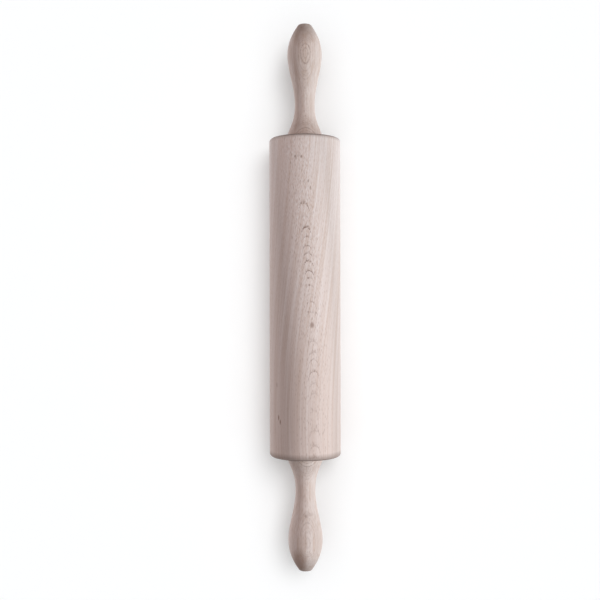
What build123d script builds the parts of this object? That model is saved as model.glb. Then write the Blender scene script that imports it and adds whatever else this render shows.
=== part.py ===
from build123d import *
from math import cos, radians, sin, tan
import os

# A beech rolling pin: a barrel that turns on two sealed ball bearings, and two turned
# handles screwed on to the ends of the axle that carries them.
# The axis lies along Y and the barrel rests on Z = 0, with the origin under its middle.
# The left handle points along +Y, and the pin rolls along X. Lengths are in millimetres.

# Barrel
barrel_length = 250.0
barrel_diameter = 56.0
barrel_edge_radius = 2.5
bearing_inset = 1.5
bearing_seat_lead = 0.4
bearing_relief_depth = 1.5

# Handles, measured from the base that faces the barrel
handle_gap = 0.5
handle_length = 90.0
handle_base_diameter = 29.2
handle_base_rounding = 0.8
neck_diameter = 15.6
neck_from_base = 27.1
belly_diameter = 27.1
belly_from_base = 65.7
tip_diameter = 9.8
tip_rounding = 1.1
flare_angle = 17.0
nose_angle = 35.0

# How far each curve of the handle pulls along its span before it bends away
flare_pull_shares = (0.38, 0.50)
swell_pull_shares = (0.36, 0.30)
nose_pull_shares = (0.30, 0.42)

# Axle
axle_diameter = 8.0
axle_bore_gap = 1.0
axle_shoulder_chamfer = 0.3
stud_shoulder = 1.0
stud_length = 14.0
stud_chamfer = 0.8
undercut_width = 1.2
undercut_depth = 0.4

# Threaded inserts in the handles
insert_wall = 2.0
insert_spare_depth = 2.0
insert_flange_rim = 1.5
insert_flange_thickness = 1.5
insert_slot_width = 1.6
insert_slot_depth = 0.8
drill_point_angle = 118.0

# Spacers between the bearings and the handles
spacer_clearance = 0.1
spacer_wall = 1.65

# Bearings
ball_count = 7
ball_diameter = 3.97
race_clearance = 0.03
race_wall = 1.485
race_groove_depth = 0.6
race_conformity_share = 0.52
ring_chamfer = 0.3
seal_thickness = 0.8
seal_inset = 0.1
seal_seat = 0.65
seal_clearance = 0.1
cage_thickness = 1.5
cage_pocket_clearance = 0.12
cage_back_wall = 0.245
cage_seal_gap = 0.25
cage_crown_share = 0.6

# Places and sizes that follow from those above
axis_height = barrel_diameter / 2
barrel_end = barrel_length / 2
handle_base = barrel_end + handle_gap
axle_radius = axle_diameter / 2
stud_radius = axle_radius - stud_shoulder
insert_radius = stud_radius + insert_wall
insert_flange_radius = insert_radius + insert_flange_rim
insert_length = stud_length + insert_spare_depth

ball_radius = ball_diameter / 2
pocket_radius = ball_radius + cage_pocket_clearance
pitch_radius = axle_radius + race_wall + race_clearance + ball_radius
groove_radius = race_conformity_share * ball_diameter
inner_groove_floor = axle_radius + race_wall
outer_groove_floor = pitch_radius + ball_radius + race_clearance
inner_land_radius = inner_groove_floor + race_groove_depth
outer_land_radius = outer_groove_floor - race_groove_depth
bearing_radius = outer_groove_floor + race_wall
seal_inner_radius = inner_land_radius + seal_clearance
seal_outer_radius = outer_land_radius + seal_seat
seal_inner_face = pocket_radius + cage_back_wall + cage_seal_gap
seal_outer_face = seal_inner_face + seal_thickness
bearing_half_width = seal_outer_face + seal_inset
bearing_middle = barrel_end - bearing_inset - bearing_half_width
bearing_seat_floor = bearing_middle - bearing_half_width
bearing_relief_floor = bearing_seat_floor - bearing_relief_depth

sides = {"left": 0, "right": 180}


def band(inner_radius, outer_radius, start, end):
    """A rectangle to be turned: radii along X, places along the axis on Y."""
    corners = [(inner_radius, start), (outer_radius, start), (outer_radius, end), (inner_radius, end)]
    return make_face(Polyline(*corners, close=True))


def turned(profile):
    return revolve(profile, axis=Axis.Y)


def outer_corners(profile):
    return profile.vertices().group_by(Axis.X)[-1]


def inner_corners(profile):
    return profile.vertices().group_by(Axis.X)[0]


def make_barrel():
    blank = band(axle_radius + axle_bore_gap, axis_height, -barrel_end, barrel_end)
    barrel = turned(fillet(outer_corners(blank), barrel_edge_radius))
    for turn in sides.values():
        barrel -= Rot(0, 0, turn) * turned(make_bearing_seat())
    return barrel


def make_bearing_seat():
    """The pocket for one bearing, with a relief behind it that keeps the inner ring free."""
    lead_start = barrel_end - bearing_seat_lead
    mouth_radius = bearing_radius + bearing_seat_lead
    corners = [
        (0, bearing_relief_floor),
        (seal_outer_radius, bearing_relief_floor),
        (seal_outer_radius, bearing_seat_floor),
        (bearing_radius, bearing_seat_floor),
        (bearing_radius, lead_start),
        (mouth_radius, barrel_end),
        (0, barrel_end),
    ]
    return make_face(Polyline(*corners, close=True))


def make_axle():
    rod = band(0, axle_radius, -handle_base, handle_base)
    axle = turned(chamfer(outer_corners(rod), axle_shoulder_chamfer))
    for turn in sides.values():
        axle += Rot(0, 0, turn) * turned(make_stud())
    return axle


def make_stud():
    """The threaded end of the axle, at its thread's outer size, with a groove at the shoulder."""
    root_radius = stud_radius - undercut_depth
    stud_end = handle_base + stud_length
    corners = [
        (0, handle_base),
        (root_radius, handle_base),
        (root_radius, handle_base + undercut_width),
        (stud_radius, handle_base + undercut_width + undercut_depth),
        (stud_radius, stud_end - stud_chamfer),
        (stud_radius - stud_chamfer, stud_end),
        (0, stud_end),
    ]
    return make_face(Polyline(*corners, close=True))


def curve(start, start_angle, end, end_angle, pull_shares):
    """A smooth curve between two points (radius, place) with its slopes in degrees."""
    span = end[1] - start[1]
    first_pull, last_pull = (share * span for share in pull_shares)
    leaving = (start[0] + first_pull * tan(radians(start_angle)), start[1] + first_pull)
    arriving = (end[0] - last_pull * tan(radians(end_angle)), end[1] - last_pull)
    return Bezier(start, leaving, arriving, end)


def make_handle():
    base = (handle_base_diameter / 2, handle_base)
    neck = (neck_diameter / 2, handle_base + neck_from_base)
    belly = (belly_diameter / 2, handle_base + belly_from_base)
    tip = (tip_diameter / 2, handle_base + handle_length)
    outline = [
        Line((0, handle_base), base),
        curve(base, -flare_angle, neck, 0, flare_pull_shares),
        curve(neck, 0, belly, 0, swell_pull_shares),
        curve(belly, 0, tip, -nose_angle, nose_pull_shares),
        Line(tip, (0, tip[1])),
        Line((0, tip[1]), (0, handle_base)),
    ]
    handle = turned(make_face(outline))
    rims = handle.edges().filter_by(GeomType.CIRCLE).sort_by(Axis.Y)
    handle = fillet(rims[0], handle_base_rounding)
    rims = handle.edges().filter_by(GeomType.CIRCLE).sort_by(Axis.Y)
    handle = fillet(rims[-1], tip_rounding)
    return handle - turned(make_insert_hole())


def make_insert_hole():
    """The hole for the insert, with its flange's recess and the drill's cone at the bottom."""
    hole_end = handle_base + insert_length
    cone_depth = insert_radius / tan(radians(drill_point_angle / 2))
    flange_end = handle_base + insert_flange_thickness
    corners = [
        (0, handle_base),
        (insert_flange_radius, handle_base),
        (insert_flange_radius, flange_end),
        (insert_radius, flange_end),
        (insert_radius, hole_end),
        (0, hole_end + cone_depth),
    ]
    return make_face(Polyline(*corners, close=True))


def make_insert():
    flange = band(stud_radius, insert_flange_radius, handle_base, handle_base + insert_flange_thickness)
    body = band(stud_radius, insert_radius, handle_base, handle_base + insert_length)
    slot_middle = handle_base + insert_slot_depth / 2
    slot = Box(insert_flange_radius * 2, insert_slot_depth, insert_slot_width)
    return turned(flange + body) - Pos(0, slot_middle, 0) * slot


def make_spacer():
    bore_radius = axle_radius + spacer_clearance
    return turned(band(bore_radius, bore_radius + spacer_wall, barrel_end - bearing_inset, handle_base))


def bearing_band(inner_radius, outer_radius):
    half = bearing_half_width
    return band(inner_radius, outer_radius, -half, half)


def make_inner_ring():
    ring = bearing_band(axle_radius, inner_land_radius)
    ring = chamfer(inner_corners(ring), ring_chamfer)
    ring -= Pos(inner_groove_floor + groove_radius, 0) * Circle(groove_radius)
    return turned(ring)


def make_outer_ring():
    ring = bearing_band(outer_land_radius, bearing_radius)
    ring = chamfer(outer_corners(ring), ring_chamfer)
    ring -= Pos(outer_groove_floor - groove_radius, 0) * Circle(groove_radius)
    ring -= band(outer_land_radius, seal_outer_radius, seal_inner_face, bearing_half_width)
    ring -= band(outer_land_radius, seal_outer_radius, -bearing_half_width, -seal_inner_face)
    return turned(ring)


def make_seal(facing):
    """One seal ring. It faces out of the barrel at 1 and into the barrel at -1."""
    near_face, far_face = sorted((facing * seal_inner_face, facing * seal_outer_face))
    return turned(band(seal_inner_radius, seal_outer_radius, near_face, far_face))


def ball_places():
    """A plane at each ball's centre, facing away from the axis, with its X along the axis."""
    turns = [radians(360 * number / ball_count) for number in range(ball_count)]
    outward = [Vector(sin(turn), 0, cos(turn)) for turn in turns]
    return [Plane(origin=pitch_radius * way, x_dir=(0, 1, 0), z_dir=way) for way in outward]


def make_cage():
    """A snap-in crown: a ring behind the balls with prongs that reach between them."""
    back = -(pocket_radius + cage_back_wall)
    crown = cage_crown_share * ball_radius
    half = cage_thickness / 2
    cage = turned(band(pitch_radius - half, pitch_radius + half, back, crown))
    for place in ball_places():
        cage -= place * Sphere(pocket_radius)
    return cage


def make_bearing():
    parts = {
        "bearing_outer_ring": make_outer_ring(),
        "bearing_inner_ring": make_inner_ring(),
        "bearing_outer_seal": make_seal(1),
        "bearing_inner_seal": make_seal(-1),
        "bearing_cage": make_cage(),
    }
    for number, place in enumerate(ball_places(), start=1):
        parts[f"bearing_ball_{number}"] = place * Sphere(ball_radius)
    return {name: Pos(0, bearing_middle, 0) * part for name, part in parts.items()}


def make_end():
    """Everything at one end of the pin, drawn on the +Y side."""
    parts = {
        "handle": make_handle(),
        "handle_insert": make_insert(),
        "spacer": make_spacer(),
    }
    return parts | make_bearing()


nodes = {"barrel": make_barrel(), "axle": make_axle()}
for side, turn in sides.items():
    for name, part in make_end().items():
        nodes[f"{side}_{name}"] = Rot(0, 0, turn) * part

os.makedirs("parts", exist_ok=True)
for name, part in nodes.items():
    lifted = Pos(0, 0, axis_height) * part
    export_step(lifted, f"parts/{name}.step")

print(f"{len(nodes)} parts, {2 * (handle_base + handle_length):.1f} mm long, barrel {barrel_diameter:.1f} mm")
print(f"bearing {axle_diameter:.2f} x {2 * bearing_radius:.2f} x {2 * bearing_half_width:.2f} mm")
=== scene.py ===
import math

import bpy
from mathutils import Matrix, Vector


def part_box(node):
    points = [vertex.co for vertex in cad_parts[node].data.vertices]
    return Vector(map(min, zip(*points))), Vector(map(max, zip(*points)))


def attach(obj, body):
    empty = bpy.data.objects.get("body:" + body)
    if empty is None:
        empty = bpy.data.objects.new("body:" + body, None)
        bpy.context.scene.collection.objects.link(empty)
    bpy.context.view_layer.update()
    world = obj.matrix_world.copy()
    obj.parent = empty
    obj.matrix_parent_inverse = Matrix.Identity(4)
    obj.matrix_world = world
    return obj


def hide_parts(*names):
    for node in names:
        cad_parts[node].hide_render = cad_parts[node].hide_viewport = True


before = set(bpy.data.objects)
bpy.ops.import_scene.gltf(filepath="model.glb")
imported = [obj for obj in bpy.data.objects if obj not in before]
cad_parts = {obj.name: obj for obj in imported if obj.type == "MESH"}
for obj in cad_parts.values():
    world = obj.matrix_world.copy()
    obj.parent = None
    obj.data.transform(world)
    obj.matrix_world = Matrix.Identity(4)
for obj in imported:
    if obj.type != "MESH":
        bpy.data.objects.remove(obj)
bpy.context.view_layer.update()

mm = 0.001
mixFirst, mixSecond, mixResult = 6, 7, 2  # a Mix node's two colours and its colour out

# The axis lies along Y, and the left handle points along +Y, up in the picture.
barrelLow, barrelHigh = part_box("barrel")
axisHeight = (barrelLow[2] + barrelHigh[2]) / 2
halfBarrel = (barrelHigh[1] - barrelLow[1]) / 2


def hexColour(code):
    # sRGB hex to the linear values that sockets take
    parts = [int(code[i:i + 2], 16) / 255 for i in (1, 3, 5)]
    linear = [p / 12.92 if p <= 0.04045 else ((p + 0.055) / 1.055) ** 2.4 for p in parts]
    return (*linear, 1)


def addNode(tree, kind, *inputs, stops=(), named=None, **settings):
    # one node: its inputs in order or by name, a node given as an input is linked from
    # its first output, and its other settings as they are called in the node
    node = tree.nodes.new("ShaderNode" + kind)
    for name, value in settings.items():
        setattr(node, name, value)
    for name, value in [*enumerate(inputs), *(named or {}).items()]:
        if isinstance(value, bpy.types.Node):
            value = value.outputs[0]
        if isinstance(value, bpy.types.NodeSocket):
            tree.links.new(value, node.inputs[name])
        elif value is not None:
            node.inputs[name].default_value = value
    for i, (place, colour) in enumerate(stops):
        elements = node.color_ramp.elements
        element = elements[i] if i < len(elements) else elements.new(1)
        element.position = place
        shade = hexColour(colour) if isinstance(colour, str) else (colour, colour, colour, 1)
        element.color = shade
    return node


def newMaterial(name):
    material = bpy.data.materials.new(name)
    material.use_nodes = True
    tree = material.node_tree
    tree.nodes.clear()
    return material, tree


# The photograph looks straight down from about 0.74 m with a normal lens.
# The lens and its sensor are in mm, and the turn is in radians.
cameraPlace = {"x": -4.0 * mm, "y": -2.0 * mm, "height": 740 * mm, "turn": -0.0020,
               "lens": 54.0, "sensorWidth": 36}

bpy.ops.object.select_all(action="DESELECT")
bpy.ops.object.camera_add(location=(cameraPlace["x"], cameraPlace["y"], cameraPlace["height"]),
                          rotation=(0, 0, cameraPlace["turn"]))
camera = bpy.context.object
camera.name = "topCamera"
camera.data.lens = cameraPlace["lens"]
camera.data.sensor_width = cameraPlace["sensorWidth"]
bpy.context.scene.camera = camera
bpy.context.scene.view_settings.view_transform = "Standard"
print("camera set")


# A large soft key from the right, a weak warm light from above left and a low fill from the
# left light the pin. The floor has two lamps of its own, a very wide one straight above it
# and a narrower one beside that, so its shadow stays short and soft.
# Each lamp: lean from straight up towards +X and towards +Y in degrees, spread, level, colour.
pinLamps = {
    "softKey": (60, -18, 35, 0.80, "#F7FCFF"),
    "warmFill": (-24, 28, 60, 0.125, "#FFDED6"),
    "lowFill": (-84, 65, 25, 0.235, "#F9F1F4"),
}
floorLamps = {
    "floorLight": (0, 0, 110, 0.628, "#FCFDFF"),
    "floorKey": (15, 20, 36, 0.355, "#FCFDFF"),
}
studio = {
    "domeLevel": 0.12, "domeColour": "#FFFFFF", "backdropLevel": 1.0, "backdropColour": "#FFFFFF",
    "floorSize": 12, "floorColour": "#E2E2E2", "floorShown": "#F9F9F8",
}


def raysThatShow(tree):
    # camera, glossy and see-through rays meet the white backdrop
    path = addNode(tree, "LightPath").outputs
    seen = addNode(tree, "Math", path["Is Camera Ray"], path["Is Glossy Ray"], operation="MAXIMUM")
    return addNode(tree, "Math", seen, path["Is Transmission Ray"], operation="MAXIMUM")


world = bpy.data.worlds.new("paleDome")
bpy.context.scene.world = world
world.use_nodes = True
tree = world.node_tree
tree.nodes.clear()
dome = addNode(tree, "Background", hexColour(studio["domeColour"]), studio["domeLevel"])
backdrop = addNode(tree, "Background", hexColour(studio["backdropColour"]),
                   studio["backdropLevel"])
shown = addNode(tree, "MixShader", raysThatShow(tree), dome, backdrop)
addNode(tree, "OutputWorld", shown)

bpy.ops.object.select_all(action="DESELECT")
bpy.ops.mesh.primitive_plane_add(size=studio["floorSize"], location=(0, 0, 0))
floor = bpy.context.object
floor.name = "floor"
# White paper sweep: shown bright enough to clip to white, with the pin's soft shadow kept.
floorMaterial, tree = newMaterial("whitePaperSweep")
paper = addNode(tree, "BsdfDiffuse", hexColour(studio["floorColour"]))
brightPaper = addNode(tree, "BsdfDiffuse", hexColour(studio["floorShown"]))
shown = addNode(tree, "MixShader", raysThatShow(tree), paper, brightPaper)
addNode(tree, "OutputMaterial", shown)
floor.data.materials.append(floorMaterial)

# the pin's lamps leave out the floor, and the floor's lamps light nothing else
for lamps, state in ((pinLamps, "EXCLUDE"), (floorLamps, "INCLUDE")):
    lit = bpy.data.collections.new("floorOf_" + state.lower())
    lit.objects.link(floor)
    lit.collection_objects[0].light_linking.link_state = state
    for name, (leanX, leanY, spread, level, colour) in lamps.items():
        towards = Vector((math.tan(math.radians(leanX)), math.tan(math.radians(leanY)), 1))
        bpy.ops.object.light_add(type="SUN", location=(0, 0, 1))  # only its direction counts
        lamp = bpy.context.object
        lamp.name = name
        lamp.rotation_euler = towards.to_track_quat("Z", "Y").to_euler()
        lamp.data.energy = level * math.pi  # so that a level of 1 shows a colour as written
        lamp.data.angle = math.radians(spread)
        lamp.data.color = hexColour(colour)[:3]
        lamp.light_linking.receiver_collection = lit
print("light and floor set")


# Steamed beech, turned and fine sanded, left bare: a pale pinkish wood with thin darker
# year lines, short brown ray flecks and soft streaks along the fibre, and almost no gloss.
beechColours = {
    "pale": "#ECE1DD", "middle": "#DBCBC4", "deep": "#C9B1A3",
    # the fleck brown also paints shade spots on the handles' noses, and the end grain brown is
    # partly painted shade on surfaces that face the ends
    "yearLine": "#8E6C5C", "fleckAndShadeBrown": "#967565", "endGrainAndShade": "#6E5A50",
}
# What all the beech here shares, and what a piece has where its own look doesn't say.
# Sizes are in mm: across, along and up, or width and length. Four values together say
# where something starts and where it is full, and its amount at each.
sharedBeech = {
    # year rings: how far under the barrel's axis the pith lies, one year's width, how long
    # the waves in its line are, and the line's shade from a year's inner edge to its outer one
    "pithDepth": 159.0, "yearWidth": 0.8, "wobbleSize": (6, 18, 6),
    "lateWood": [(0.0, 0.9), (0.06, 0.0), (0.60, 0.0), (0.80, 0.35), (0.92, 1.0), (1.0, 1.0)],
    # how close its breaks lie, the noise that breaks it, and how far it shows on the ends
    "boldnessShift": 0.1, "breaksPerMm": (1.2, 0.7, 1.2), "breakBand": (0.40, 0.58),
    "swelling": (0.0, 1.0, 0.0), "fallAway": 0.0, "endCutLines": (0.85, 1.0, 0.0, 0.7),
    # rays: their spacing sideways, along and outwards, and their edge as a share of it
    "raySpacing": (1.1, 4.5, 22), "rayEdge": (0.14, 0.34), "flatCutRays": (0.85, 0.99, 0.3, 1.0),
    # streaks along the fibre; vessels are 0.08 mm wide, drawn 0.45 mm to show
    "streakSizes": {"wide": (4.5, 400), "fine": (1.2, 300), "vessel": (0.45, 2.6)},
    "twist": (0.0, 0.0, 0.0), "dip": 0.0, "seedStep": (9, 40, 0),
    "flatCutVessels": (0.93, 0.985, 0.4, 1.0), "vesselsShown": (0.0, 1.0, 1.0, 1.0),
    # tone: the crest's paler band, partly a painted highlight, grows between two flatnesses;
    # flecks and painted shade spots fade at their edge and over the first 2 mm above the axis
    "crestHighlightBand": (0.80, 1.0), "fleckEdge": (0.55, 1.25), "fleckHeights": (0.0, 2.0),
    # how far the end grain brown, partly painted shade, takes over as the surface turns to face the
    # ends
    "endGrainAndShade": [(0.0, 0.0), (0.2, 0.0), (0.35, 0.06), (0.57, 0.45), (0.75, 0.8), (0.95, 0.9),
                 (1.0, 0.35)],
    # no rim band of burnish and painted shade unless a look sets one
    "rimBurnishAndShade": (0.0, 0.0, 1.0, 0.0, 0.0),
    # surface: fine streaks change the gloss, lines and vessels the height
    "roughness": (-0.2, 0.2, 0.52, 0.66), "lineHeight": -0.5, "bumpStrength": 0.35,
    "bumpDepth": 0.03, "ior": 1.45, "specularLevel": 0.2,
}


def beech(name, ownLook):
    look = {**sharedBeech, **ownLook}
    material, tree = newMaterial(name)
    coordinates = addNode(tree, "TexCoord").outputs
    # metres to millimetres, from the barrel's axis
    place = addNode(tree, "Mapping", coordinates["Object"], (0, 0, -axisHeight / mm), None,
                    (1 / mm,) * 3)
    along = addNode(tree, "SeparateXYZ", place).outputs["Y"]

    # Year rings stand round a pith line that lies far under the piece. Their crest wanders
    # round the piece along its length, so the rings are read in a frame that turns with it.
    start, perMm, perMmSquared = look["crestTurn"]
    turn = addNode(tree, "Math", along, -perMmSquared, -perMm, operation="MULTIPLY_ADD")
    turn = addNode(tree, "Math", turn, along, -start, operation="MULTIPLY_ADD")
    ringFrame = addNode(tree, "VectorRotate", place, named={"Angle": turn},
                        rotation_type="Y_AXIS")
    fromPith = addNode(tree, "VectorMath", ringFrame, (0, 0, -look["pithDepth"]),
                       operation="SUBTRACT")
    fromPith = addNode(tree, "VectorMath", along, (0, 0, -look["ringSlope"]), fromPith,
                       operation="MULTIPLY_ADD")
    fromPith = addNode(tree, "VectorMath", fromPith, (1, 0, 1), operation="MULTIPLY")
    radial = addNode(tree, "VectorMath", fromPith, operation="LENGTH").outputs["Value"]
    outward = addNode(tree, "VectorMath", fromPith, operation="NORMALIZE")
    across = addNode(tree, "SeparateXYZ", fromPith).outputs
    angle = addNode(tree, "Math", across["X"], across["Z"], operation="ARCTAN2")
    crestRing = look["pithDepth"] + look["crestRadius"]
    sideways = addNode(tree, "Math", angle, crestRing, operation="MULTIPLY")
    wobble = addNode(tree, "VectorMath", place, tuple(1 / size for size in look["wobbleSize"]),
                     operation="MULTIPLY")
    wobble = addNode(tree, "TexNoise", wobble, named={"Scale": 1.0, "Detail": 2.0})
    wobble = addNode(tree, "MapRange", wobble, 0.0, 1.0, -look["wobble"], look["wobble"])
    depth = addNode(tree, "Math", radial, crestRing, operation="SUBTRACT")
    depth = addNode(tree, "Math", depth, wobble, operation="ADD")
    # a low swelling of the rings: its middle along the piece, half length and height in mm
    middle, reach, height = look["swelling"]
    swelling = addNode(tree, "Math", along, middle, operation="SUBTRACT")
    swelling = addNode(tree, "Math", swelling, reach, operation="DIVIDE")
    swelling = addNode(tree, "Clamp", swelling, -1.0, 1.0)
    swelling = addNode(tree, "Math", swelling, swelling, operation="MULTIPLY")
    depth = addNode(tree, "Math", swelling, height, depth, operation="MULTIPLY_ADD")
    # beside their crest the rings fall away faster, which makes round arches of the figure
    fall = addNode(tree, "Math", sideways, sideways, operation="MULTIPLY")
    fall = addNode(tree, "Math", fall, fall, operation="MULTIPLY")
    depth = addNode(tree, "Math", fall, -look["fallAway"], depth, operation="MULTIPLY_ADD")

    # how flat to the rings the surface is cut here: 1 along the crest of the figure
    facing = addNode(tree, "VectorRotate", coordinates["Normal"], named={"Angle": turn},
                     rotation_type="Y_AXIS")
    flatness = addNode(tree, "VectorMath", facing, outward, operation="DOT_PRODUCT")
    flatness = flatness.outputs["Value"]
    # and how squarely it cuts the fibre: 1 on the flat ends
    endCut = addNode(tree, "SeparateXYZ", coordinates["Normal"]).outputs["Y"]
    endCut = addNode(tree, "Math", endCut, operation="ABSOLUTE")

    # The years under the crest have widths and boldness of their own; elsewhere they are even.
    years = look["years"]
    first, count = years[0][0], len(years) - 1
    span = years[-1][0] - first
    depth = addNode(tree, "Math", depth, first, operation="SUBTRACT")
    chartPlace = addNode(tree, "Math", depth, span, operation="DIVIDE")
    chart = addNode(tree, "ValToRGB", chartPlace,
                    stops=[((at - first) / span, i / count) for i, (at, bold) in enumerate(years)])
    inside = addNode(tree, "Clamp", depth, 0.0, span)
    outside = addNode(tree, "Math", depth, inside, operation="SUBTRACT")
    outside = addNode(tree, "Math", outside, look["yearWidth"], operation="DIVIDE")
    year = addNode(tree, "Math", chart, float(count), outside, operation="MULTIPLY_ADD")
    # late wood: the last part of a year, dark up to its sharp outer edge
    line = addNode(tree, "Math", year, operation="FRACT")
    line = addNode(tree, "ValToRGB", line, stops=look["lateWood"])
    # each line takes its own boldness over its whole width
    boldness = addNode(tree, "Math", chartPlace, look["boldnessShift"] / span, operation="ADD")
    boldness = addNode(tree, "ValToRGB", boldness,
                       stops=[((at - first) / span, bold) for at, bold in years])
    broken = addNode(tree, "VectorMath", place, look["breaksPerMm"], operation="MULTIPLY")
    broken = addNode(tree, "TexNoise", broken, named={"Scale": 1.0, "Detail": 1.0})
    broken = addNode(tree, "MapRange", broken, *look["breakBand"], look["lineKept"], 1.0)
    figured = addNode(tree, "MapRange", flatness, *look["figureBand"], 0.0, 1.0)
    endLines = addNode(tree, "MapRange", endCut, *look["endCutLines"])
    figured = addNode(tree, "Math", figured, endLines, operation="MAXIMUM")
    for factor in (boldness, broken, figured, look["yearContrast"]):
        line = addNode(tree, "Math", line, factor, operation="MULTIPLY")

    # Rays stand square on the rings like thin sheets, about 0.5 mm thick, 2 mm tall and
    # 10 mm long: on a flat cut they show as short dark dashes, and beside it as faint flecks.
    # Real ones are nearer 0.2 mm thick, and are drawn thicker to show.
    ray = addNode(tree, "CombineXYZ", sideways, along, radial)
    ray = addNode(tree, "VectorMath", ray, tuple(1 / size for size in look["raySpacing"]),
                  operation="MULTIPLY")
    ray = addNode(tree, "TexVoronoi", ray, named={"Scale": 1.0, "Randomness": 1.0}, feature="F1")
    ray = ray.outputs["Distance"]
    ray = addNode(tree, "MapRange", ray, *look["rayEdge"], look["rayContrast"], 0.0)
    shownRay = addNode(tree, "MapRange", flatness, *look["flatCutRays"])
    ray = addNode(tree, "Math", ray, shownRay, operation="MULTIPLY")

    # Soft streaks follow the fibre, which winds a little round the piece and dips in it.
    twist = 0.0
    for share in reversed(look["twist"]):
        twist = addNode(tree, "Math", twist, -share, operation="ADD")
        twist = addNode(tree, "Math", twist, along, operation="MULTIPLY")
    fibre = addNode(tree, "VectorRotate", place, named={"Angle": twist}, rotation_type="Y_AXIS")
    fibre = addNode(tree, "VectorMath", along, (0, 0, -look["dip"]), fibre,
                    operation="MULTIPLY_ADD")
    fibre = addNode(tree, "VectorMath", fibre,
                    tuple(look["seed"] * step for step in look["seedStep"]), operation="ADD")
    tone = 0.5  # the middle of the wood's three colours
    streaks = {}
    for streak, (width, length) in look["streakSizes"].items():
        noise = addNode(tree, "VectorMath", fibre, (1 / width, 1 / length, 1 / width),
                        operation="MULTIPLY")
        noise = addNode(tree, "TexNoise", noise,
                        named={"Scale": 1.0, "Detail": 1.0, "Roughness": 0.5})
        share = look["streaks"][streak]
        noise = addNode(tree, "MapRange", noise, 0.0, 1.0, -share / 2, share / 2, clamp=False)
        if streak == "vessel":
            # open vessels show where they are cut lengthwise, along the crest of the figure,
            # and more at one end of the piece than at the other
            opened = addNode(tree, "MapRange", flatness, *look["flatCutVessels"])
            noise = addNode(tree, "Math", noise, opened, operation="MULTIPLY")
            opened = addNode(tree, "MapRange", along, *look["vesselsShown"])
            noise = addNode(tree, "Math", noise, opened, operation="MULTIPLY")
        tone = addNode(tree, "Math", noise, tone, operation="ADD")
        streaks[streak] = noise
    wood = addNode(tree, "ValToRGB", tone, stops=[
        (0.0, beechColours["deep"]), (0.5, beechColours["middle"]), (1.0, beechColours["pale"])])
    # a face cut flat to the rings is paler than one cut across them, and this paler band along the
    # crest near the top also paints a highlight
    crestPaleAndHighlight = addNode(tree, "MapRange", flatness, *look["crestHighlightBand"], 1.0, 1 + look["crestPaleAndHighlight"])
    wood = addNode(tree, "VectorMath", wood, named={"Scale": crestPaleAndHighlight}, operation="SCALE")
    # each piece runs darker and a little warmer towards its -Y end and paler towards +Y
    lowEnd, lowTint, highEnd, highTint = look["tints"]
    tint = addNode(tree, "MapRange", along, lowEnd, highEnd, 0.0, 1.0)
    tint = addNode(tree, "Mix", tint, named={mixFirst: (*lowTint, 1), mixSecond: (*highTint, 1)},
                   data_type="RGBA").outputs[mixResult]
    wood = addNode(tree, "VectorMath", wood, tint, operation="MULTIPLY")

    # Single brown flecks where this blank has them, and broad soft spots of painted shade on
    # the handles' noses: place seen from above, half width and half length in mm, and strength.
    fleckAndShadeSpot = 0.0
    for x, y, halfWidth, halfLength, strength in look["flecksAndShadeSpots"]:
        spot = addNode(tree, "VectorMath", place, (x, y, 0), operation="SUBTRACT")
        spot = addNode(tree, "VectorMath", spot, (1 / halfWidth, 1 / halfLength, 0),
                       operation="MULTIPLY")
        spot = addNode(tree, "VectorMath", spot, operation="LENGTH").outputs["Value"]
        spot = addNode(tree, "MapRange", spot, *look["fleckEdge"], strength, 0.0)
        fleckAndShadeSpot = addNode(tree, "Math", spot, fleckAndShadeSpot, operation="MAXIMUM")
    onTop = addNode(tree, "SeparateXYZ", place).outputs["Z"]
    onTop = addNode(tree, "MapRange", onTop, *look["fleckHeights"], 0.0, 1.0)
    fleckAndShadeSpot = addNode(tree, "Math", fleckAndShadeSpot, onTop, operation="MULTIPLY")
    # the ray mask from here on also carries the flecks and the painted shade spots
    ray = addNode(tree, "Math", ray, fleckAndShadeSpot, operation="MAXIMUM")

    # Surfaces that face the ends go darker: partly the end grain's own darker colour and partly
    # painted shade, on the noses, the flared bases and the rounded rims.
    endGrainAndShade = addNode(tree, "ValToRGB", endCut, stops=look["endGrainAndShade"])
    # a band at the barrel's rims goes browner: partly rubbed by the tool and partly painted shade
    # on the rims
    middle, *rimShadeBand = look["rimBurnishAndShade"]
    rimBurnishAndShade = addNode(tree, "Math", along, middle, operation="SUBTRACT")
    rimBurnishAndShade = addNode(tree, "Math", rimBurnishAndShade, operation="ABSOLUTE")
    rimBurnishAndShade = addNode(tree, "MapRange", rimBurnishAndShade, *rimShadeBand)
    endGrainAndShade = addNode(tree, "Math", endGrainAndShade, rimBurnishAndShade, operation="MAXIMUM")
    # the fleck brown here also lays the painted shade spots, and the end grain brown the painted
    # shade on surfaces facing the ends
    for amount, colour in ((line, "yearLine"), (ray, "fleckAndShadeBrown"), (endGrainAndShade, "endGrainAndShade")):
        wood = addNode(tree, "Mix", amount, data_type="RGBA", named={
            mixFirst: wood, mixSecond: hexColour(beechColours[colour])}).outputs[mixResult]

    roughness = addNode(tree, "MapRange", streaks["fine"], *look["roughness"])
    relief = addNode(tree, "Math", line, look["lineHeight"], streaks["vessel"],
                     operation="MULTIPLY_ADD")
    bump = addNode(tree, "Bump", named={
        "Height": relief, "Strength": look["bumpStrength"], "Distance": look["bumpDepth"] * mm})
    shader = addNode(tree, "BsdfPrincipled", named={
        "Base Color": wood, "Roughness": roughness, "IOR": look["ior"],
        "Specular IOR Level": look["specularLevel"], "Normal": bump})
    addNode(tree, "OutputMaterial", shader)
    return material


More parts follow.
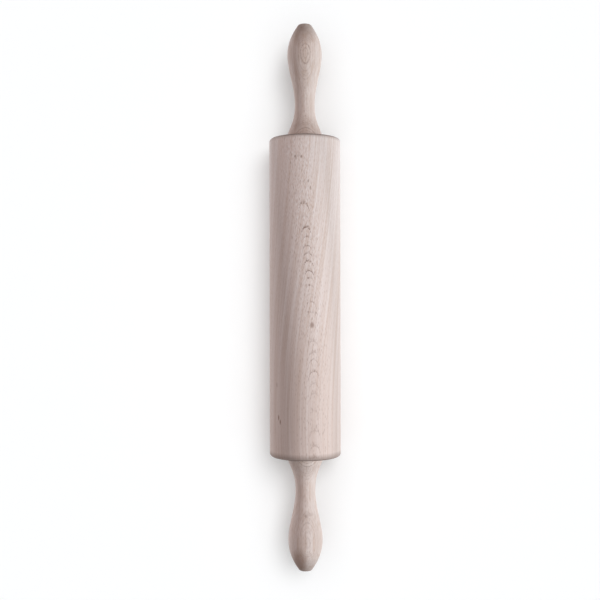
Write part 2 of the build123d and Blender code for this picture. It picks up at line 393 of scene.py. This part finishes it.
# Where year lines cross the barrel's crest, in mm from its middle, and how bold each is;
# with the rings' slope under the crest that gives each year's depth. A ramp that reads
# them takes 32 at most.
ringSlope = 0.09
crestLines = [
    (120, 0.10), (107.4, 0.25), (98, 0.10), (88.4, 0.20), (80, 0.10), (71.7, 0.80), (62, 0.15),
    (53.5, 0.85), (46.5, 0.45), (39.8, 0.50), (33.7, 0.60), (27.6, 0.80), (20, 0.80), (14.7, 0.35),
    (9.4, 0.30), (3, 0.10), (-2.8, 0.40), (-11.1, 0.25), (-21, 0.20), (-33.2, 0.30), (-41.5, 0.28),
    (-46.8, 0.40), (-56, 0.50), (-65.8, 0.35), (-73.4, 0.20), (-86, 0.10), (-100.8, 0.25),
    (-113, 0.35),
]
# In each look crestTurn is how far the crest leans from the top at the pin's middle, in
# radians, and how that changes per mm and per mm squared. figureBand is how flat a cut has
# to be for year lines to come up and to be full, lineKept what is left of a line where it
# is broken, and tints a place near each end with its tint.
barrelLook = {
    "crestTurn": (0.150, -0.00205, -0.0000096), "ringSlope": ringSlope, "crestRadius": 28.0,
    "wobble": 0.12, "years": [(-ringSlope * place, bold) for place, bold in crestLines],
    "fallAway": 0.001, "yearContrast": 1.0, "lineKept": 0.15, "figureBand": (0.986, 0.996),
    # how much paler the crest of the figure is; this also paints a highlight along it
    "rayContrast": 0.33, "crestPaleAndHighlight": 0.31,
    "tints": (-115.0, (0.935, 0.91, 0.90), 115.0, (1.03, 1.055, 1.075)),
    # the rim band, partly burnish and partly painted shade: its middle, how far from there it
    # starts and is full, and its amount at each
    "rimBurnishAndShade": (1.0, 120.6, 124.0, 0.0, 0.5),
    "seed": 3.0, "twist": (0.0054, 1.05e-5, -1.17e-7), "dip": -0.015,
    "streaks": {"wide": 0.55, "fine": 0.9, "vessel": 1.2},
    "vesselsShown": (-100.0, 65.0, 0.35, 1.3),
    "flecksAndShadeSpots": [
        (-7.5, 107.5, 0.7, 1.2, 0.6), (-2.8, 107.2, 0.7, 1.0, 0.6), (2.4, 88.6, 0.6, 1.3, 0.6),
        (4.0, 83.4, 0.6, 1.6, 0.5), (2.3, 14.7, 0.8, 0.9, 0.6), (3.1, 9.4, 0.8, 0.9, 0.6),
        (5.1, -21.0, 1.5, 2.4, 0.6), (2.2, -11.0, 0.6, 0.9, 0.5), (8.2, -11.8, 0.6, 0.9, 0.5),
        (-20.6, -92.6, 0.45, 2.2, 0.9), (-19.4, -95.8, 0.45, 2.0, 0.9),
        (-22.0, -67.6, 0.5, 2.0, 0.35),
    ],
}
leftLook = {
    "crestTurn": (0.045, 0.0, 0.0), "ringSlope": 0.043, "crestRadius": 5.41, "wobble": 0.03,
    "years": [
        (-3.9, 0.1), (-3.27, 0.2), (-2.25, 0.3), (-1.73, 0.35), (-1.17, 0.35), (-0.47, 0.65),
        (-0.15, 0.4), (0.2, 0.4), (1.6, 0.9), (2.6, 0.5),
    ],
    "swelling": (188.6, 10.0, 0.3), "yearContrast": 0.75, "lineKept": 0.3,
    "figureBand": (0.50, 0.92), "rayContrast": 0.25, "crestPaleAndHighlight": 0.14,
    "tints": (130.0, (0.91, 0.88, 0.86), 150.0, (0.97, 0.96, 0.945)),
    "seed": 7.0, "streaks": {"wide": 0.6, "fine": 1.0, "vessel": 0.9},
    # a small fleck, then broad soft spots of painted shade on the nose
    "flecksAndShadeSpots": [
        (0.8, 205.0, 0.5, 1.0, 0.3), (1.0, 204.0, 6.5, 6.5, 0.24), (-4.0, 204.0, 5.0, 9.0, 0.28),
        (-2.0, 210.0, 4.5, 4.0, 0.36),
    ],
}
rightLook = {
    "crestTurn": (0.12, 0.0, 0.0), "ringSlope": -0.03, "crestRadius": 7.86, "wobble": 0.06,
    "years": [
        (-4.6, 0.1), (-3.8, 0.1), (-3.0, 0.2), (-2.2, 0.25), (-1.46, 0.35), (-0.9, 0.1),
        (-0.5, 0.15), (-0.15, 0.15), (1.02, 0.8), (2.2, 0.6),
    ],
    "swelling": (-187.8, 10.0, 0.3), "yearContrast": 0.8, "lineKept": 0.5,
    "figureBand": (0.35, 0.85), "rayContrast": 0.25, "crestPaleAndHighlight": 0.17,
    "tints": (-210.0, (0.94, 0.93, 0.92), -180.0, (1.03, 1.02, 1.01)),
    "seed": 11.0, "twist": (0.001, 0.0, 0.0),
    "streaks": {"wide": 0.6, "fine": 1.0, "vessel": 0.9},
    # two flecks, then a broad soft spot of painted shade on the nose's left side
    "flecksAndShadeSpots": [
        (0.2, -170.6, 1.0, 1.2, 0.45), (2.0, -169.6, 4.5, 1.5, 0.2), (-4.8, -206.5, 5.5, 10.5, 0.6),
    ],
}

# How outlines are rounded and finished: the first and last in mm, the angle in degrees.
turning = {"pickReach": 0.01, "roundingSteps": 8, "smoothAngle": 35, "mergeDistance": 0.002}


def overAxis(radius, place):
    return Vector((radius * mm, place * mm, axisHeight))


def spinPiece(name, shape, outline, roundings):
    # The outline is drawn as a curve beside the axis, its sharp rims are rounded, and it is
    # spun round. outline: point (radius, place), pull towards the one before, pull after it.
    bpy.ops.object.select_all(action="DESELECT")
    bpy.ops.curve.primitive_bezier_curve_add(location=(0, 0, 0))
    piece = bpy.context.object
    piece.name = name
    piece.data.dimensions = "3D"
    line = piece.data.splines[0]
    line.resolution_u = shape["curveSteps"]
    line.use_cyclic_u = outline[0][0][0] > 0  # an outline that leaves the axis open is a ring
    line.bezier_points.add(len(outline) - 2)
    for corner, ((radius, place), before, after) in zip(line.bezier_points, outline):
        corner.handle_left_type = "FREE" if before else "VECTOR"
        corner.handle_right_type = "FREE" if after else "VECTOR"
        corner.co = overAxis(radius, place)
        if before:
            corner.handle_left = corner.co + Vector((before[0] * mm, before[1] * mm, 0))
        if after:
            corner.handle_right = corner.co + Vector((after[0] * mm, after[1] * mm, 0))
    bpy.ops.object.convert(target="MESH")
    piece = bpy.context.object
    for radius, place, rounding in roundings:
        rim = overAxis(radius, place)
        bpy.ops.object.mode_set(mode="EDIT")
        bpy.ops.mesh.select_mode(type="VERT")
        bpy.ops.mesh.select_all(action="DESELECT")
        bpy.ops.object.mode_set(mode="OBJECT")
        for vertex in piece.data.vertices:
            vertex.select = (vertex.co - rim).length < turning["pickReach"] * mm
        bpy.ops.object.mode_set(mode="EDIT")
        bpy.ops.mesh.bevel(offset=rounding * mm, offset_type="OFFSET",
                           segments=turning["roundingSteps"], affect="VERTICES")
        bpy.ops.object.mode_set(mode="OBJECT")
    bpy.ops.object.mode_set(mode="EDIT")
    bpy.ops.mesh.select_all(action="SELECT")
    bpy.ops.mesh.spin(steps=shape["spinSteps"], angle=math.radians(360),
                      center=(0, 0, axisHeight), axis=(0, 1, 0))
    # doubles merged, faces outwards, smooth where the surface turns gently
    bpy.ops.mesh.select_all(action="SELECT")
    bpy.ops.mesh.remove_doubles(threshold=turning["mergeDistance"] * mm)
    bpy.ops.mesh.normals_make_consistent(inside=False)
    bpy.ops.object.mode_set(mode="OBJECT")
    bpy.ops.object.shade_smooth_by_angle(angle=math.radians(turning["smoothAngle"]))
    return piece


# Turned from one straight blank: rounded rims, a stepped seat for each bearing and a
# through bore that the axle passes with room to spare. Sizes are in mm, and depths are
# measured from the end face.
barrelShape = {
    "rim": 2.5, "lead": 0.4, "seatRadius": 11.0, "seatDepth": 8.5,
    "reliefRadius": 9.565, "reliefDepth": 10.0, "boreRadius": 5.0,
    "curveSteps": 1, "spinSteps": 192,
}


def barrelOutline(shape):
    # the radius is that of the solid's narrower side
    radius, half = min(barrelHigh[0], -barrelLow[0]) / mm, halfBarrel / mm
    # one end, from the bore out to the rim: radius and depth
    end = [
        (shape["boreRadius"], shape["reliefDepth"]), (shape["reliefRadius"], shape["reliefDepth"]),
        (shape["reliefRadius"], shape["seatDepth"]), (shape["seatRadius"], shape["seatDepth"]),
        (shape["seatRadius"], shape["lead"]), (shape["seatRadius"] + shape["lead"], 0),
        (radius, 0),
    ]
    outline = [((r, half - depth), None, None) for r, depth in end]
    outline += [((r, depth - half), None, None) for r, depth in reversed(end)]
    return outline, [(radius, half, shape["rim"]), (radius, -half, shape["rim"])]


barrel = spinPiece("turnedBarrel", barrelShape, *barrelOutline(barrelShape))
barrel.data.materials.append(beech("sandedBeechBarrel", barrelLook))
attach(barrel, "barrel")
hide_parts("barrel")
print("barrel turned")


# Turned like a small baluster: a flared base with a soft edge, a slim neck, a full belly
# and a blunt nose. Each has the bored hole that its brass insert is pressed into. Sizes are
# in mm, places run from the base, angles are in degrees, and a pull is the share of its
# span over which a curve keeps its direction.
handleShape = {
    "gap": 0.5, "length": 90, "baseRadius": 14.6, "baseRounding": 0.8,
    "neckRadius": 7.8, "neckPlace": 27.1, "bellyRadius": 13.55, "bellyPlace": 65.7,
    "tipRadius": 4.9, "tipRounding": 1.1, "flareAngle": 17, "noseAngle": 35,
    "flarePulls": (0.38, 0.50), "swellPulls": (0.36, 0.30), "nosePulls": (0.30, 0.42),
    "holeRadius": 5.0, "holeDepth": 16.0, "coneDepth": 3.0,
    "recessRadius": 6.5, "recessDepth": 1.5,
    "curveSteps": 40, "spinSteps": 128,
}


def handleOutline(shape):
    start = halfBarrel / mm + shape["gap"]
    neck, belly, length = shape["neckPlace"], shape["bellyPlace"], shape["length"]
    flare, nose = [math.tan(math.radians(shape[angle])) for angle in ("flareAngle", "noseAngle")]
    flareOut, flareIn = [share * neck for share in shape["flarePulls"]]
    swellOut, swellIn = [share * (belly - neck) for share in shape["swellPulls"]]
    noseOut, noseIn = [share * (length - belly) for share in shape["nosePulls"]]
    points = [
        ((0, shape["holeDepth"] + shape["coneDepth"]), None, None),
        ((shape["holeRadius"], shape["holeDepth"]), None, None),
        ((shape["holeRadius"], shape["recessDepth"]), None, None),
        ((shape["recessRadius"], shape["recessDepth"]), None, None),
        ((shape["recessRadius"], 0), None, None),
        ((shape["baseRadius"], 0), None, (-flare * flareOut, flareOut)),
        ((shape["neckRadius"], neck), (0, -flareIn), (0, swellOut)),
        ((shape["bellyRadius"], belly), (0, -swellIn), (0, noseOut)),
        ((shape["tipRadius"], length), (nose * noseIn, -noseIn), None),
        ((0, length), None, None),
    ]
    outline = [((radius, start + place), before, after)
               for (radius, place), before, after in points]
    return outline, [(shape["baseRadius"], start, shape["baseRounding"]),
                     (shape["tipRadius"], start + length, shape["tipRounding"])]


leftHandle = spinPiece("turnedHandle_left", handleShape, *handleOutline(handleShape))
bpy.ops.object.select_all(action="DESELECT")
leftHandle.select_set(True)
bpy.context.view_layer.objects.active = leftHandle
bpy.ops.object.duplicate()
rightHandle = bpy.context.object
rightHandle.name = "turnedHandle_right"
bpy.ops.transform.rotate(value=math.radians(180), orient_axis="Z", center_override=(0, 0, 0))
bpy.ops.object.transform_apply(location=True, rotation=True, scale=True)
for side, piece, look in (("left", leftHandle, leftLook), ("right", rightHandle, rightLook)):
    piece.data.materials.append(beech("sandedBeechHandle_" + side, look))
    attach(piece, "axle_and_handles")
    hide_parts(side + "_handle")
print("handles turned")


# The finishes of the small parts. markWidth and cloudSize are in mm; grinding and drawing
# marks are really 0.02 to 0.1 mm wide, and are drawn 0.15 to 0.5 mm so that they show.
hardwareLooks = {
    # cold drawn mild steel bar: grey, satin, with fine lengthwise drawing lines
    "drawnSteelBar": {
        "colour": "#B4B6B8", "second": "#8F8C88", "cloudSize": 9, "cloudShare": 0.35,
        "marks": "along", "markWidth": 0.25, "roughness": (0.24, 0.42), "relief": 0.25,
        "metallic": 1.0},
    # ground bearing steel: bright and even, with close rings left by the wheel
    "groundBearingSteel": {
        "colour": "#C6C7C9", "second": "#A9AAAD", "cloudSize": 5, "cloudShare": 0.25,
        "marks": "round", "markWidth": 0.15, "roughness": (0.12, 0.26), "relief": 0.12,
        "metallic": 1.0},
    # lapped bearing balls: a mirror with only a breath of haze
    "lappedBallSteel": {
        "colour": "#D6D7D9", "second": "#C2C3C6", "cloudSize": 1.5, "cloudShare": 0.3,
        "marks": "none", "markWidth": 0.5, "roughness": (0.04, 0.09), "relief": 0.02,
        "metallic": 1.0},
    # turned free-cutting brass: warm yellow, tool rings, brown tarnish starting in patches
    "turnedBrass": {
        "colour": "#D8B873", "second": "#A98547", "cloudSize": 4, "cloudShare": 0.5,
        "marks": "round", "markWidth": 0.3, "roughness": (0.20, 0.40), "relief": 0.4,
        "metallic": 1.0},
    # bright zinc plating on turned steel: bluish white with faint straw clouds
    "zincPlatedSteel": {
        "colour": "#BFC5CC", "second": "#C4BBA4", "cloudSize": 3, "cloudShare": 0.6,
        "marks": "round", "markWidth": 0.35, "roughness": (0.26, 0.44), "relief": 0.2,
        "metallic": 1.0},
    # moulded nitrile rubber: near black and dull, greyed in places by fine dust
    "mouldedNitrileRubber": {
        "colour": "#1C1C1D", "second": "#3A3937", "cloudSize": 2.5, "cloudShare": 0.6,
        "marks": "none", "markWidth": 0.3, "roughness": (0.55, 0.75), "relief": 0.3,
        "metallic": 0.0, "ior": 1.52},
    # moulded natural nylon: ivory, faintly waxy, a little yellower where it is thick
    "mouldedNaturalNylon": {
        "colour": "#E8E2D2", "second": "#D9CFB4", "cloudSize": 2, "cloudShare": 0.7,
        "marks": "none", "markWidth": 0.5, "roughness": (0.36, 0.50), "relief": 0.15,
        "metallic": 0.0, "ior": 1.53},
}
# The same in all of them: the noise values between which clouds and marks come up, how far
# drawing marks are shortened lengthwise before they are drawn, and the relief's depth in mm.
sharedFinish = {"cloudBand": (0.42, 0.66), "markBand": (0.3, 0.7), "lengthShare": 0.01,
                "reliefDepth": 0.05}


def hardware(name, look):
    # a body colour with a second one in soft clouds, tool or drawing marks that run round
    # the axis or along it, and a little relief from them
    material, tree = newMaterial(name)
    coordinates = addNode(tree, "TexCoord").outputs
    place = addNode(tree, "Mapping", coordinates["Object"], (0, 0, -axisHeight / mm), None,
                    (1 / mm,) * 3)
    marked = place
    if look["marks"] == "round":
        fromAxis = addNode(tree, "VectorMath", place, (1, 0, 1), operation="MULTIPLY")
        fromAxis = addNode(tree, "VectorMath", fromAxis, operation="LENGTH").outputs["Value"]
        along = addNode(tree, "SeparateXYZ", place).outputs["Y"]
        marked = addNode(tree, "CombineXYZ", fromAxis, along)
    elif look["marks"] == "along":
        marked = addNode(tree, "VectorMath", place, (1, sharedFinish["lengthShare"], 1),
                         operation="MULTIPLY")
    marks = addNode(tree, "TexNoise", marked,
                    named={"Scale": 1 / look["markWidth"], "Detail": 2.0})
    clouds = addNode(tree, "TexNoise", place,
                     named={"Scale": 1 / look["cloudSize"], "Detail": 3.0})
    clouds = addNode(tree, "MapRange", clouds, *sharedFinish["cloudBand"], 0.0, look["cloudShare"])
    colour = addNode(tree, "Mix", clouds, data_type="RGBA", named={
        mixFirst: hexColour(look["colour"]),
        mixSecond: hexColour(look["second"])}).outputs[mixResult]
    roughness = addNode(tree, "MapRange", marks, *sharedFinish["markBand"], *look["roughness"])
    relief = addNode(tree, "Bump", named={
        "Height": marks, "Strength": look["relief"], "Distance": sharedFinish["reliefDepth"] * mm})
    shader = addNode(tree, "BsdfPrincipled", named={
        "Base Color": colour, "Metallic": look["metallic"], "Roughness": roughness,
        "Normal": relief})
    if "ior" in look:
        shader.inputs["IOR"].default_value = look["ior"]
    addNode(tree, "OutputMaterial", shader)
    return material


# a node takes the finish whose word is in its name
finishOf = {
    "axle": "drawnSteelBar", "_spacer": "zincPlatedSteel", "_handle_insert": "turnedBrass",
    "_ring": "groundBearingSteel", "_ball": "lappedBallSteel", "_seal": "mouldedNitrileRubber",
    "_cage": "mouldedNaturalNylon",
}
finishes = {name: hardware(name, look) for name, look in hardwareLooks.items()}
for name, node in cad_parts.items():
    for part, finish in finishOf.items():
        if part in name:
            for slot in node.material_slots:
                slot.material = finishes[finish]
print("hardware finished")
